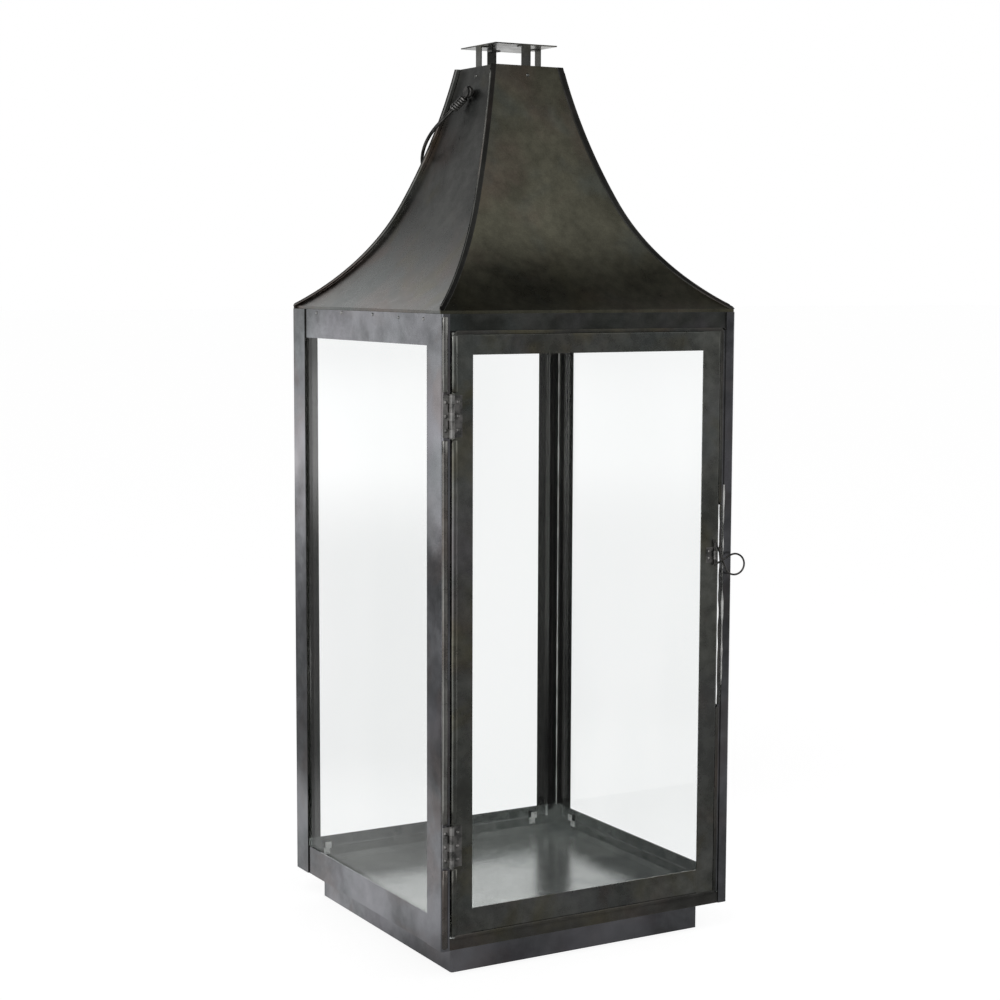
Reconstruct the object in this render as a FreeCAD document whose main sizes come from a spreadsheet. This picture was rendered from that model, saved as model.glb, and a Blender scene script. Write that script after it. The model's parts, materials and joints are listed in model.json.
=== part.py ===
import FreeCAD, Part
import math
import operator
import os
import Sketcher

# A candle lantern: a square glazed box on an inset plinth, with one hinged glass door, a flared
# roof of four sheets, an open throat under a small cap on four straps, and a wire bail.
# Sizes are in millimetres. The origin lies under the middle of the plinth, +Z is up, and the
# door faces -Y with its hinges on the -X side.

doc = FreeCAD.newDocument("candle_lantern")
sheet = doc.addObject("Spreadsheet::Sheet", "Sizes")
finished = []
Vector = FreeCAD.Vector


# Sizes that know their sheet formula

class Size:
    """A length or an angle: its value, and the sheet formula that gives it."""

    def __init__(self, value, formula):
        self.value = value
        self.formula = formula

    def __add__(self, other):
        return combined(self, "+", other)

    def __radd__(self, other):
        return combined(other, "+", self)

    def __sub__(self, other):
        return combined(self, "-", other)

    def __rsub__(self, other):
        return combined(other, "-", self)

    def __mul__(self, other):
        return combined(self, "*", other)

    def __rmul__(self, other):
        return combined(other, "*", self)

    def __truediv__(self, other):
        return combined(self, "/", other)

    def __neg__(self):
        return combined(-1, "*", self)


ARITHMETIC = {"+": operator.add, "-": operator.sub, "*": operator.mul, "/": operator.truediv}


def size(number):
    """A plain number, or a Size, as a Size."""
    if isinstance(number, Size):
        return number
    return Size(float(number), f"({float(number)!r})")


def combined(left, sign, right):
    left = size(left)
    right = size(right)
    value = ARITHMETIC[sign](left.value, right.value)
    return Size(value, f"({left.formula} {sign} {right.formula})")


def sine(angle):
    return Size(math.sin(math.radians(angle.value)), f"sin({angle.formula})")


def tangent(angle):
    return Size(math.tan(math.radians(angle.value)), f"tan({angle.formula})")


def root(number):
    return Size(math.sqrt(number.value), f"sqrt({number.formula})")


def angle_of(rise, run):
    return Size(math.degrees(math.atan2(rise.value, run.value)),
                f"atan2({rise.formula}; {run.formula})")


def in_order(first, second):
    return (first, second) if first.value < second.value else (second, first)


def arc_cosine(ratio):
    return Size(math.degrees(math.acos(ratio.value)), f"acos({ratio.formula})")


cells = []


def driving(alias, number):
    """Writes one driving dimension into the sheet and returns it as a Size."""
    cells.append(alias)
    cell = f"A{len(cells)}"
    sheet.set(cell, str(number))
    sheet.setAlias(cell, alias)
    return Size(float(number), f"Sizes.{alias}")


# Driving dimensions

body_width = driving("body_width", 280)            # outside of the glazed box, square in plan
body_height = driving("body_height", 508.5)        # plinth top to eave
plinth_width = driving("plinth_width", 242)
plinth_height = driving("plinth_height", 25.5)
wall = driving("wall", 1.0)                        # sheet of the posts, rails and plinth
bend = driving("bend", 2.0)                        # outside radius where that sheet is folded
fit = driving("fit", 0.1)                          # play between pieces that are soldered or lapped

post_leg = driving("post_leg", 25)                 # wide legs of the corner posts
hinge_leg = driving("hinge_leg", 7.3)              # narrow leg of the post at the hinges
front_leg = driving("front_leg", 9)                # narrow leg of the post at the pull ring
latch_post_leg = driving("latch_post_leg", 13)     # side leg of the post at the pull ring
rail_depth = driving("rail_depth", 25)
header_depth = driving("header_depth", 13.4)
sill_depth = driving("sill_depth", 9.5)
tray_rim = driving("tray_rim", 6.5)

glass = driving("glass", 3.0)
pane_lap = driving("pane_lap", 10)                 # glass hidden behind the posts and rails
narrow_lap = driving("narrow_lap", 7.5)            # glass behind the narrow leg at the pull ring
door_pane_lap = driving("door_pane_lap", 6)
clip_sheet = driving("clip_sheet", 0.8)
clip_width = driving("clip_width", 6)
clip_foot = driving("clip_foot", 7)
clip_lip = driving("clip_lip", 5)
clip_inset = driving("clip_inset", 16)             # clip centre from the end of its pane

hinge_gap = driving("hinge_gap", 1.5)
latch_gap = driving("latch_gap", 4.0)
door_gap = driving("door_gap", 1.0)                # above and below the door
door_stile = driving("door_stile", 19)
door_top_rail = driving("door_top_rail", 17.5)
door_bottom_rail = driving("door_bottom_rail", 22)
door_depth = driving("door_depth", 8)              # depth of the folded door edge
door_bend = driving("door_bend", 3.0)

hinge_height = driving("hinge_height", 33)
hinge_shift = driving("hinge_shift", 0.6)          # pins from the middle of the gap, toward the post
upper_hinge_drop = driving("upper_hinge_drop", 65.1)   # middle below the door's top
lower_hinge_rise = driving("lower_hinge_rise", 75)     # middle above the door's bottom
knuckle_radius = driving("knuckle_radius", 2.3)
knuckle_gap = driving("knuckle_gap", 0.3)
hinge_pin = driving("hinge_pin", 1.1)              # radius
hinge_play = driving("hinge_play", 0.06)
leaf_sheet = driving("leaf_sheet", 0.8)
post_leaf = driving("post_leaf", 4.2)              # width of each leaf beside the knuckles
door_leaf = driving("door_leaf", 7.8)
leaf_rivet_pitch = driving("leaf_rivet_pitch", 11)

rivet_head = driving("rivet_head", 1.6)            # radii
rivet_shank = driving("rivet_shank", 0.9)
rivet_tail = driving("rivet_tail", 1.3)
rivet_tail_height = driving("rivet_tail_height", 0.6)

stop_gap = driving("stop_gap", 0.3)                # back of the door to the stop strip
stop_side = driving("stop_side", 0.5)              # edge of the door to the stop strip
stop_reach = driving("stop_reach", 5)              # stop strip behind the door
stop_inset = driving("stop_inset", 0.5)            # ends of the strip from the door's top and bottom
upper_stop = driving("upper_stop", 147.5)          # lengths above and below its slot
lower_stop = driving("lower_stop", 163.5)
stop_sliver = driving("stop_sliver", 1.1)          # metal left standing in the slot

pull_inset = driving("pull_inset", 6)              # pivot line of the ring from the door's edge
pull_rise = driving("pull_rise", 293.7)            # middle of its barrel above the door's bottom
pull_barrel = driving("pull_barrel", 7.2)          # length
pull_barrel_wall = driving("pull_barrel_wall", 0.8)
pull_plate = driving("pull_plate", 8)              # width of the plate under the barrel
pull_plate_height = driving("pull_plate_height", 13)
pull_sheet = driving("pull_sheet", 0.8)
pull_rivet_pitch = driving("pull_rivet_pitch", 6)
pull_wire = driving("pull_wire", 0.8)              # radius
pull_play = driving("pull_play", 0.06)
pull_ring_radius = driving("pull_ring_radius", 8.9)
pull_ring_reach = driving("pull_ring_reach", 18.3) # ring centre from the pivot line
pull_ring_drop = driving("pull_ring_drop", 8.7)    # ring centre below the barrel's middle
pull_cross_reach = driving("pull_cross_reach", 7)  # where the two tails cross
pull_cross_drop = driving("pull_cross_drop", 4.7)
pull_end = driving("pull_end", 3.1)                # wire inside each end of the barrel
pull_rest = driving("pull_rest", 11)               # degrees that the ring stands off the door

eave_setback = driving("eave_setback", 2.4)        # roof behind the faces of the box
eave_lip = driving("eave_lip", 2.5)                # upright edge under the flare
roof_sheet = driving("roof_sheet", 0.8)
roof_rise = driving("roof_rise", 202.9)            # top of the lip to the throat
throat_width = driving("throat_width", 61)
knee_out = driving("knee_out", 34.8)               # change of curve outside the throat
knee_drop = driving("knee_drop", 114.4)            # and below it
throat_slope = driving("throat_slope", 78.8)       # degrees from level at the throat
hip_overhang = driving("hip_overhang", 4.0)        # front and back sheets past the hips
seam_width = driving("seam_width", 5.0)
seam_sheet = driving("seam_sheet", 0.8)
seam_gap = driving("seam_gap", 0.05)

strap_width = driving("strap_width", 8.7)
strap_sheet = driving("strap_sheet", 1.0)
strap_foot = driving("strap_foot", 14)
strap_tab = driving("strap_tab", 8)
strap_rivet_drop = driving("strap_rivet_drop", 8)
cap_rise = driving("cap_rise", 17)                 # throat to the underside of the cap
cap_sheet = driving("cap_sheet", 1.0)
cap_lip = driving("cap_lip", 0.4)                  # cap past the straps

bail_drop = driving("bail_drop", 21.4)             # pivots below the throat
bail_wire = driving("bail_wire", 1.5)              # radius
bail_radius = driving("bail_radius", 57.7)
bail_centre = driving("bail_centre", 58)           # middle of the round part from the pivots
bail_lean = driving("bail_lean", 47.1)             # degrees below level where a bare line meets the hips
bail_lever = driving("bail_lever", 55)             # arm from the pivots to the hips, square to the lean
bail_clear = driving("bail_clear", 0.3)            # resting bail to the hip seams
stud_stand = driving("stud_stand", 1.6)            # collar outside the roof sheet
stud_tail_room = driving("stud_tail_room", 1.4)    # inner head inside the roof sheet
stud_shank = driving("stud_shank", 1.6)            # radii
stud_journal = driving("stud_journal", 2.2)
stud_collar = driving("stud_collar", 3.6)
stud_head = driving("stud_head", 4.2)
stud_flange = driving("stud_flange", 0.8)          # thickness of the collar and heads
stud_play = driving("stud_play", 0.08)
stud_room = driving("stud_room", 0.5)              # side play of the bail's eye
doc.recompute()

DEGREE = Size(1, "1 deg")
KNUCKLES = 5
RIVETS_PER_LEAF = 3
DOME_LATITUDE = 30
SIDES = {"back": 0, "left": 90, "front": 180, "right": 270}

# Places worked out from the driving dimensions

half = body_width / 2
eave = plinth_height + body_height
door_left = -half + hinge_leg + hinge_gap
door_right = half - front_leg - latch_gap
door_low = plinth_height + sill_depth + door_gap
door_high = eave - header_depth - door_gap
door_back = -half + door_depth
hinge_x = door_left - hinge_gap / 2 - hinge_shift
hinge_y = -half - knuckle_radius - fit
upper_hinge = door_high - upper_hinge_drop
lower_hinge = door_low + lower_hinge_rise
pull_x = door_right - pull_inset
pull_height = door_low + pull_rise
pull_outer = pull_wire + pull_play + pull_barrel_wall
pull_y = -half - pull_sheet / 2 - pull_outer
roof_half = half - eave_setback
lip_top = eave + eave_lip
throat_half = throat_width / 2
throat_top = lip_top + roof_rise
knee_half = throat_half + knee_out
knee_height = throat_top - knee_drop
upper_chord = angle_of(knee_drop, knee_out)
lower_chord = angle_of(knee_height - lip_top, roof_half - knee_half)
eave_slope = 2 * lower_chord - 2 * upper_chord + throat_slope * DEGREE
hip_relief = roof_sheet / sine(eave_slope) + fit   # side sheets clear of the sheets that pass over them
strap_face = throat_half - roof_sheet / sine(throat_slope) - fit
cap_low = throat_top + cap_rise
bail_pivot = throat_top - bail_drop
bail_wall = throat_half + bail_drop / tangent(throat_slope)
bail_eye = stud_journal + stud_play + bail_wire
bail_rest = bail_lean * DEGREE - angle_of(bail_wire + seam_sheet + bail_clear, bail_lever)
bail_eye_x = bail_wall + stud_stand + stud_flange + stud_room + bail_wire


# Building blocks

def place(thing, x=0, y=0, z=0, yaw=0, pitch=0, roll=0, slide=0):
    """Binds a placement to the sheet: turns in degrees, then a slide along the turned Z axis."""
    base = "; ".join(size(step).formula for step in (x, y, z))
    turn = "; ".join(size(step).formula for step in (yaw, pitch, roll))
    formula = f"placement(vector({base}); rotation({turn}))"
    if size(slide).value:
        formula += f" * placement(vector(0; 0; {size(slide).formula}); rotation(0; 0; 0))"
    thing.setExpression("Placement", formula)
    return thing


def finish(piece):
    finished.append(piece)
    return piece


def bar(label, across, deep, tall):
    """A plate or bar between two faces along each axis, each pair given as (low, high)."""
    box = doc.addObject("Part::Box", label)
    for name, (low, high) in zip(("Length", "Width", "Height"), (across, deep, tall)):
        box.setExpression(name, (size(high) - low).formula)
    return place(box, across[0], deep[0], tall[0])


def rod(label, radius, length, x=0, y=0, z=0, yaw=0, pitch=0, roll=0, slide=0):
    """A round rod that starts at a point, or a slide away from it; unturned, it runs up +Z."""
    cylinder = doc.addObject("Part::Cylinder", label)
    cylinder.setExpression("Radius", size(radius).formula)
    cylinder.setExpression("Height", size(length).formula)
    return place(cylinder, x, y, z, yaw, pitch, roll, slide)


def ball(label, radius, z):
    sphere = doc.addObject("Part::Sphere", label)
    sphere.setExpression("Radius", size(radius).formula)
    return place(sphere, z=z)


def fused(label, pieces):
    whole = doc.addObject("Part::MultiFuse", label)
    whole.Shapes = pieces
    return whole


def cut_away(label, base, tools):
    cut = doc.addObject("Part::Cut", label)
    cut.Base = base
    cut.Tool = tools[0] if len(tools) == 1 else fused(label + "_tools", tools)
    return cut


def grouped(label, pieces):
    group = doc.addObject("Part::Compound", label)
    group.Links = pieces
    return group


def new_body(label):
    return doc.addObject("PartDesign::Body", label)


def sketch_on(body, role, shift=None):
    """A sketch on one of the body's own origin planes, moved along its normal where shift is given."""
    sketch = body.newObject("Sketcher::SketchObject", body.Label + "_sketch")
    plane = next(part for part in body.Origin.OriginFeatures if part.Role == role)
    sketch.AttachmentSupport = [(plane, "")]
    sketch.MapMode = "FlatFace"
    if shift is not None:
        sketch.setExpression("AttachmentOffset.Base.z", size(shift).formula)
    return sketch


def pin_point(sketch, shape, end, x, y):
    """Binds one end of a line or arc to a place in the sketch."""
    for kind, axis, place_on_axis in (("DistanceX", -2, size(x)), ("DistanceY", -1, size(y))):
        if place_on_axis.value == 0:
            sketch.addConstraint(Sketcher.Constraint("PointOnObject", shape, end, axis))
            continue
        number = sketch.addConstraint(
            Sketcher.Constraint(kind, -1, 1, shape, end, place_on_axis.value))
        sketch.setExpression(f"Constraints[{number}]", place_on_axis.formula)


def bind_measure(sketch, kind, parts, amount):
    number = sketch.addConstraint(Sketcher.Constraint(kind, *parts, amount.value))
    sketch.setExpression(f"Constraints[{number}]", amount.formula)


def add_line(sketch, start, end):
    return sketch.addGeometry(Part.LineSegment(Vector(*start, 0), Vector(*end, 0)))


def add_arc(sketch, start, end, centre):
    """An arc of less than a half circle; returns it with the numbers of its start and end points."""
    radius = math.dist(start, centre)
    middle = [(a + b) / 2 - c for a, b, c in zip(start, end, centre)]
    stretch = radius / math.hypot(*middle)
    through = [c + stretch * m for c, m in zip(centre, middle)]
    arc = sketch.addGeometry(Part.Arc(Vector(*start, 0), Vector(*through, 0), Vector(*end, 0)))
    forward = sketch.getPoint(arc, 1).distanceToPoint(Vector(*start, 0)) < radius / 1000
    return (arc, 1, 2) if forward else (arc, 2, 1)


def step_sign(start, end):
    """The direction from one corner to the next along each axis, for square outlines."""
    return [(b.value > a.value) - (b.value < a.value) for a, b in zip(start, end)]


def draw_outline(sketch, corners):
    """A closed outline through corners (x, y), or (x, y, radius) where a square corner is rounded."""
    points = [[size(corner[0]), size(corner[1])] for corner in corners]
    radii = [size(corner[2]) if len(corner) > 2 else None for corner in corners]
    stops = []
    for index, radius in enumerate(radii):
        here = points[index]
        if radius is None:
            stops.append((here, here, None))
            continue
        before = step_sign(points[index - 1], here)
        after = step_sign(here, points[(index + 1) % len(points)])
        enter = [at - radius * sign if sign else at for at, sign in zip(here, before)]
        leave = [at + radius * sign if sign else at for at, sign in zip(here, after)]
        centre = [at + radius * sign if sign else at for at, sign in zip(enter, after)]
        stops.append((enter, leave, centre))
    chain = []
    for index, (enter, leave, centre) in enumerate(stops):
        if centre:
            arc = add_arc(sketch, *([step.value for step in point] for point in (enter, leave, centre)))
            bind_measure(sketch, "Radius", [arc[0]], radii[index])
            chain.append((arc, enter))
        ahead = stops[(index + 1) % len(stops)][0]
        line = add_line(sketch, [step.value for step in leave], [step.value for step in ahead])
        chain.append(((line, 1, 2), leave))
    for index, ((shape, start, end), point) in enumerate(chain):
        following, its_start, _ = chain[(index + 1) % len(chain)][0]
        sketch.addConstraint(Sketcher.Constraint("Coincident", shape, end, following, its_start))
        pin_point(sketch, shape, start, *point)


def add_pad(body, sketch, length, symmetric=False):
    pad = body.newObject("PartDesign::Pad", body.Label + "_pad")
    pad.Profile = sketch
    pad.setExpression("Length", size(length).formula)
    if symmetric:
        pad.SideType = "Symmetric"
    return pad


def cut_through(body, sketch):
    pocket = body.newObject("PartDesign::Pocket", body.Label + "_pocket")
    pocket.Profile = sketch
    pocket.Type = "ThroughAll"
    pocket.SideType = "Symmetric"
    return pocket


def extruded(label, role, outline, length, symmetric=False, shift=None):
    body = new_body(label)
    sketch = sketch_on(body, role, shift)
    draw_outline(sketch, outline)
    add_pad(body, sketch, length, symmetric)
    return body


def turned(label, steps):
    """A body turned about its own Y axis, from (start, end, radius) steps along that axis."""
    body = new_body(label)
    sketch = sketch_on(body, "XY_Plane")
    outline = [(0, steps[0][0])]
    for start, end, radius in steps:
        outline.append((radius, start))
        outline.append((radius, end))
    outline.append((0, steps[-1][1]))
    draw_outline(sketch, outline)
    spin = body.newObject("PartDesign::Revolution", label + "_turn")
    spin.Profile = sketch
    spin.ReferenceAxis = (sketch, ["V_Axis"])
    spin.Angle = 360
    return body


def rivet(label, grip, x, y, z, yaw=0, roll=0):
    """A domed rivet whose head sits on a face at the point; unturned, the head faces +Z."""
    dome = doc.addObject("Part::Sphere", label + "_dome")
    dome_radius = rivet_head / math.cos(math.radians(DOME_LATITUDE))
    dome.setExpression("Radius", dome_radius.formula)
    dome.Angle1 = DOME_LATITUDE
    place(dome, z=-dome_radius * math.sin(math.radians(DOME_LATITUDE)))
    tail_low = -grip - rivet_tail_height
    shank = rod(label + "_shank", rivet_shank, -tail_low, z=tail_low)
    tail = rod(label + "_tail", rivet_tail, rivet_tail_height, z=tail_low)
    return place(fused(label, [dome, shank, tail]), x, y, z, yaw, 0, roll)


def rivet_drill(label, depth, x, y, z, yaw=0, roll=0):
    """The hole for a rivet, running both ways from the point along the rivet's axis."""
    return rod(label, rivet_shank + fit / 2, 2 * depth, x, y, z, yaw, 0, roll, -depth)


# Plinth and box frame

def angle_strip(label, corner, inward, legs, low, tall):
    """An upright strip folded to an angle; inward gives the side of the corner where its legs lie."""
    across, along = inward
    x, y = corner
    outline = [
        (x, y, bend),
        (x + across * legs[0], y),
        (x + across * legs[0], y + along * wall),
        (x + across * wall, y + along * wall, bend - wall),
        (x + across * wall, y + along * legs[1]),
        (x, y + along * legs[1]),
    ]
    return place(extruded(label, "XY_Plane", outline, tall), z=low)


def build_plinth():
    edge = plinth_width / 2
    legs = (plinth_width, plinth_width - wall)
    finish(angle_strip("plinth_front_left", (-edge, -edge), (1, 1), legs, 0, plinth_height))
    finish(angle_strip("plinth_back_right", (edge, edge), (-1, -1), legs, 0, plinth_height))


def build_posts():
    corners = {
        "post_front_right": (1, -1, front_leg, latch_post_leg),
        "post_back_left": (-1, 1, post_leg, post_leg),
        "post_back_right": (1, 1, post_leg, post_leg),
    }
    for label, (x, y, leg_x, leg_y) in corners.items():
        corner = (x * half, y * half)
        finish(angle_strip(label, corner, (-x, -y), (leg_x, leg_y), plinth_height, body_height))
    blank = angle_strip("hinge_post_blank", (-half, -half), (1, 1), (hinge_leg, post_leg),
                        plinth_height, body_height)
    finish(cut_away("post_front_left", blank, leaf_drills("post_drill", post_rivet_x, HINGES.values())))


def build_rails():
    """Flat strips lapped behind the posts: side strips run past the ends of the front and back ones."""
    outer = half - wall
    inner = outer - wall
    long = (-(half - bend), half - bend)
    short = (-inner, inner)
    high = (eave - rail_depth, eave)
    low = (plinth_height, plinth_height + rail_depth)
    for place_name, tall in (("top", high), ("bottom", low)):
        finish(bar(f"{place_name}_rail_left", (-outer, -inner), long, tall))
        finish(bar(f"{place_name}_rail_right", (inner, outer), long, tall))
        finish(bar(f"{place_name}_rail_back", short, (inner, outer), tall))
    finish(bar("header_front", short, (-outer, -inner), (eave - header_depth, eave)))
    finish(bar("sill_front", short, (-outer, -inner), (plinth_height, plinth_height + sill_depth)))


def build_tray():
    edge = half - 2 * wall - 2 * fit
    outside = bar("tray_outside", (-edge, edge), (-edge, edge), (plinth_height, plinth_height + tray_rim))
    hollow = edge - wall
    inside = bar("tray_inside", (-hollow, hollow), (-hollow, hollow),
                 (plinth_height + wall, plinth_height + tray_rim + wall))
    finish(cut_away("floor_tray", outside, [inside]))


# Glass and the clips that hold it

def clip_outline(pane_height, up):
    """One hooked clip in the pane's own frame: (outward, upward) from the middle of the pane."""
    face = glass / 2 + fit
    edge = pane_height / 2
    shape = [
        (face, edge + fit + clip_foot),
        (face, edge + fit),
        (-face, edge + fit),
        (-face, edge - clip_lip),
        (-face - clip_sheet, edge - clip_lip),
        (-face - clip_sheet, edge + fit + clip_sheet),
        (face - clip_sheet, edge + fit + clip_sheet),
        (face - clip_sheet, edge + fit + clip_foot),
    ]
    return [(outward, up * upward) for outward, upward in shape]


def build_clips(label, pane_width, pane_height, centre, yaw):
    body = new_body(label)
    sketch = sketch_on(body, "YZ_Plane", pane_width / 2 - clip_inset - clip_width / 2)
    for up in (1, -1):
        draw_outline(sketch, clip_outline(pane_height, up))
    pad = add_pad(body, sketch, clip_width)
    mirror = body.newObject("PartDesign::Mirrored", label + "_pair")
    mirror.Originals = [pad]
    mirror.MirrorPlane = (next(part for part in body.Origin.OriginFeatures if part.Role == "YZ_Plane"), [""])
    body.Tip = mirror
    finish(place(body, *centre, yaw=yaw))


def build_panes():
    outer = half - 2 * wall - fit
    inner = outer - glass
    middle = (outer + inner) / 2
    edge = half - post_leg + pane_lap
    front_edge = half - latch_post_leg + narrow_lap
    low = plinth_height + rail_depth - pane_lap
    high = eave - rail_depth + pane_lap
    level = (low + high) / 2
    tall = high - low
    finish(bar("pane_left", (-outer, -inner), (-edge, edge), (low, high)))
    finish(bar("pane_right", (inner, outer), (-front_edge, edge), (low, high)))
    finish(bar("pane_back", (-edge, edge), (inner, outer), (low, high)))
    build_clips("pane_clips_left", 2 * edge, tall, (-middle, 0, level), SIDES["left"])
    build_clips("pane_clips_right", edge + front_edge, tall,
                (middle, (edge - front_edge) / 2, level), SIDES["right"])
    build_clips("pane_clips_back", 2 * edge, tall, (0, middle, level), SIDES["back"])


# Door

def build_door_frame():
    blanks = {}
    for side, edge, inward in (("left", door_left, 1), ("right", door_right, -1)):
        blanks[side] = place(extruded(f"{side}_stile_blank", "XY_Plane", [
            (edge, -half, door_bend),
            (edge + inward * door_stile, -half),
            (edge + inward * door_stile, -half + wall),
            (edge + inward * wall, -half + wall, door_bend - wall),
            (edge + inward * wall, door_back),
            (edge, door_back),
        ], door_high - door_low), z=door_low)
    hinge_drills = leaf_drills("stile_drill", door_rivet_x, HINGES.values())
    finish(cut_away("door_stile_hinge", blanks["left"], hinge_drills))
    finish(cut_away("door_stile_latch", blanks["right"], pull_drills("pull_drill")))
    rails = {
        "door_rail_top": (door_high, -1, door_top_rail),
        "door_rail_bottom": (door_low, 1, door_bottom_rail),
    }
    for label, (edge, inward, depth) in rails.items():
        start = door_left + door_stile
        finish(extruded(label, "YZ_Plane", [
            (-half, edge, door_bend),
            (door_back, edge),
            (door_back, edge + inward * wall),
            (-half + wall, edge + inward * wall, door_bend - wall),
            (-half + wall, edge + inward * depth),
            (-half, edge + inward * depth),
        ], door_right - door_stile - start, shift=start))


def build_door_pane():
    left = door_left + door_stile - door_pane_lap
    right = door_right - door_stile + door_pane_lap
    low = door_low + door_bottom_rail - door_pane_lap
    high = door_high - door_top_rail + door_pane_lap
    face = -half + wall + fit
    finish(bar("door_pane", (left, right), (face, face + glass), (low, high)))
    centre = ((left + right) / 2, face + glass / 2, (low + high) / 2)
    build_clips("door_pane_clips", right - left, high - low, centre, SIDES["front"])


def build_stop():
    """A strip on the post that closes the gap beside the door and stops it from behind.

    Halfway up, a slot leaves only a sliver of the strip in the middle of the gap.
    """
    start = door_right + stop_side
    end = half - bend
    face = -half + wall
    seat = door_back + stop_gap
    reach = door_right - stop_reach
    outline = [
        (start, face),
        (end, face),
        (end, face + wall),
        (start + wall, face + wall),
        (start + wall, seat + wall),
        (reach, seat + wall),
        (reach, seat),
        (start, seat),
    ]
    slot_low = door_low + stop_inset + lower_stop
    slot_high = door_high - stop_inset - upper_stop
    lower = place(extruded("stop_lower_half", "XY_Plane", outline, lower_stop), z=door_low + stop_inset)
    upper = place(extruded("stop_upper_half", "XY_Plane", outline, upper_stop), z=slot_high)
    middle = door_right + latch_gap / 2
    sliver = bar("stop_sliver_bar", (middle - stop_sliver / 2, middle + stop_sliver / 2),
                 (face, face + wall), (slot_low, slot_high))
    finish(fused("door_stop", [lower, sliver, upper]))


# Hinges

knuckle_reach = knuckle_radius + knuckle_gap
post_rivet_x = hinge_x - knuckle_reach - rivet_head
door_rivet_x = hinge_x + knuckle_reach + door_leaf / 2
HINGES = {"upper": upper_hinge, "lower": lower_hinge}


def leaf_rivet_heights(middle):
    return [middle + leaf_rivet_pitch * (row - (RIVETS_PER_LEAF - 1) / 2) for row in range(RIVETS_PER_LEAF)]


def leaf_drills(label, x, middles):
    depth = 2 * wall + leaf_sheet
    return [rivet_drill(f"{label}_{hinge}_{row}", depth, x, -half, height, roll=90)
            for hinge, middle in enumerate(middles)
            for row, height in enumerate(leaf_rivet_heights(middle))]


def hinge_leaf(label, middle, toward, width, rows, rivet_x):
    """One leaf: its plate, and the knuckles of its own rows with the tabs that join them to it."""
    base = middle - hinge_height / 2
    pitch = hinge_height / KNUCKLES
    face = (-half - leaf_sheet, -half)
    near = hinge_x + toward * knuckle_reach
    far = near + toward * width
    pieces = [bar(label + "_plate", in_order(near, far), face, (base, base + hinge_height))]
    for row in rows:
        low = base + pitch * row + knuckle_gap / 2
        tall = pitch - knuckle_gap
        pieces.append(bar(f"{label}_tab_{row}", in_order(hinge_x, near), face, (low, low + tall)))
        pieces.append(rod(f"{label}_knuckle_{row}", knuckle_radius, tall, hinge_x, hinge_y, low))
    bore = rod(label + "_bore", hinge_pin + hinge_play, hinge_height, hinge_x, hinge_y, base)
    drills = leaf_drills(label + "_drill", rivet_x, [middle])
    finish(cut_away(label, fused(label + "_blank", pieces), [bore] + drills))


def build_hinges():
    for name, middle in HINGES.items():
        hinge_leaf(f"hinge_{name}_post_leaf", middle, -1, post_leaf, range(0, KNUCKLES, 2), post_rivet_x)
        hinge_leaf(f"hinge_{name}_door_leaf", middle, 1, door_leaf, range(1, KNUCKLES, 2), door_rivet_x)
        end = hinge_height / 2
        pin = turned(f"hinge_{name}_pin", [
            (-end - leaf_sheet, -end - fit, knuckle_radius - fit),
            (-end - fit, end + fit, hinge_pin),
            (end + fit, end + leaf_sheet, knuckle_radius - fit),
        ])
        finish(place(pin, hinge_x, hinge_y, middle, roll=90))
    for label, x in (("hinge_post_rivets", post_rivet_x), ("hinge_door_rivets", door_rivet_x)):
        rivets = [rivet(f"{label}_{name}_{row}", leaf_sheet + wall, x, -half - leaf_sheet, height, roll=90)
                  for name, middle in HINGES.items()
                  for row, height in enumerate(leaf_rivet_heights(middle))]
        finish(grouped(label, rivets))


# Pull ring on the door

def pull_rivet_places():
    x = pull_x - pull_outer - (pull_plate - pull_outer) / 2
    return [(x, pull_height + up * pull_rivet_pitch / 2) for up in (1, -1)]


def pull_drills(label):
    depth = 2 * wall + pull_sheet
    return [rivet_drill(f"{label}_{row}", depth, x, -half, height, roll=90)
            for row, (x, height) in enumerate(pull_rivet_places())]


def build_pull_bracket():
    low = pull_height - pull_barrel / 2
    plate_low = pull_height - pull_plate_height / 2
    plate = bar("pull_plate_blank", (pull_x - pull_plate, pull_x), (-half - pull_sheet, -half),
                (plate_low, plate_low + pull_plate_height))
    barrel = rod("pull_barrel_blank", pull_outer, pull_barrel, pull_x, pull_y, low)
    bore = rod("pull_bore", pull_wire + pull_play, pull_barrel, pull_x, pull_y, low)
    blank = fused("pull_bracket_blank", [plate, barrel])
    finish(cut_away("pull_bracket", blank, [bore] + pull_drills("bracket_drill")))
    rivets = [rivet(f"pull_rivet_{row}", pull_sheet + wall, x, -half - pull_sheet, height, roll=90)
              for row, (x, height) in enumerate(pull_rivet_places())]
    finish(grouped("pull_bracket_rivets", rivets))


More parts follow.
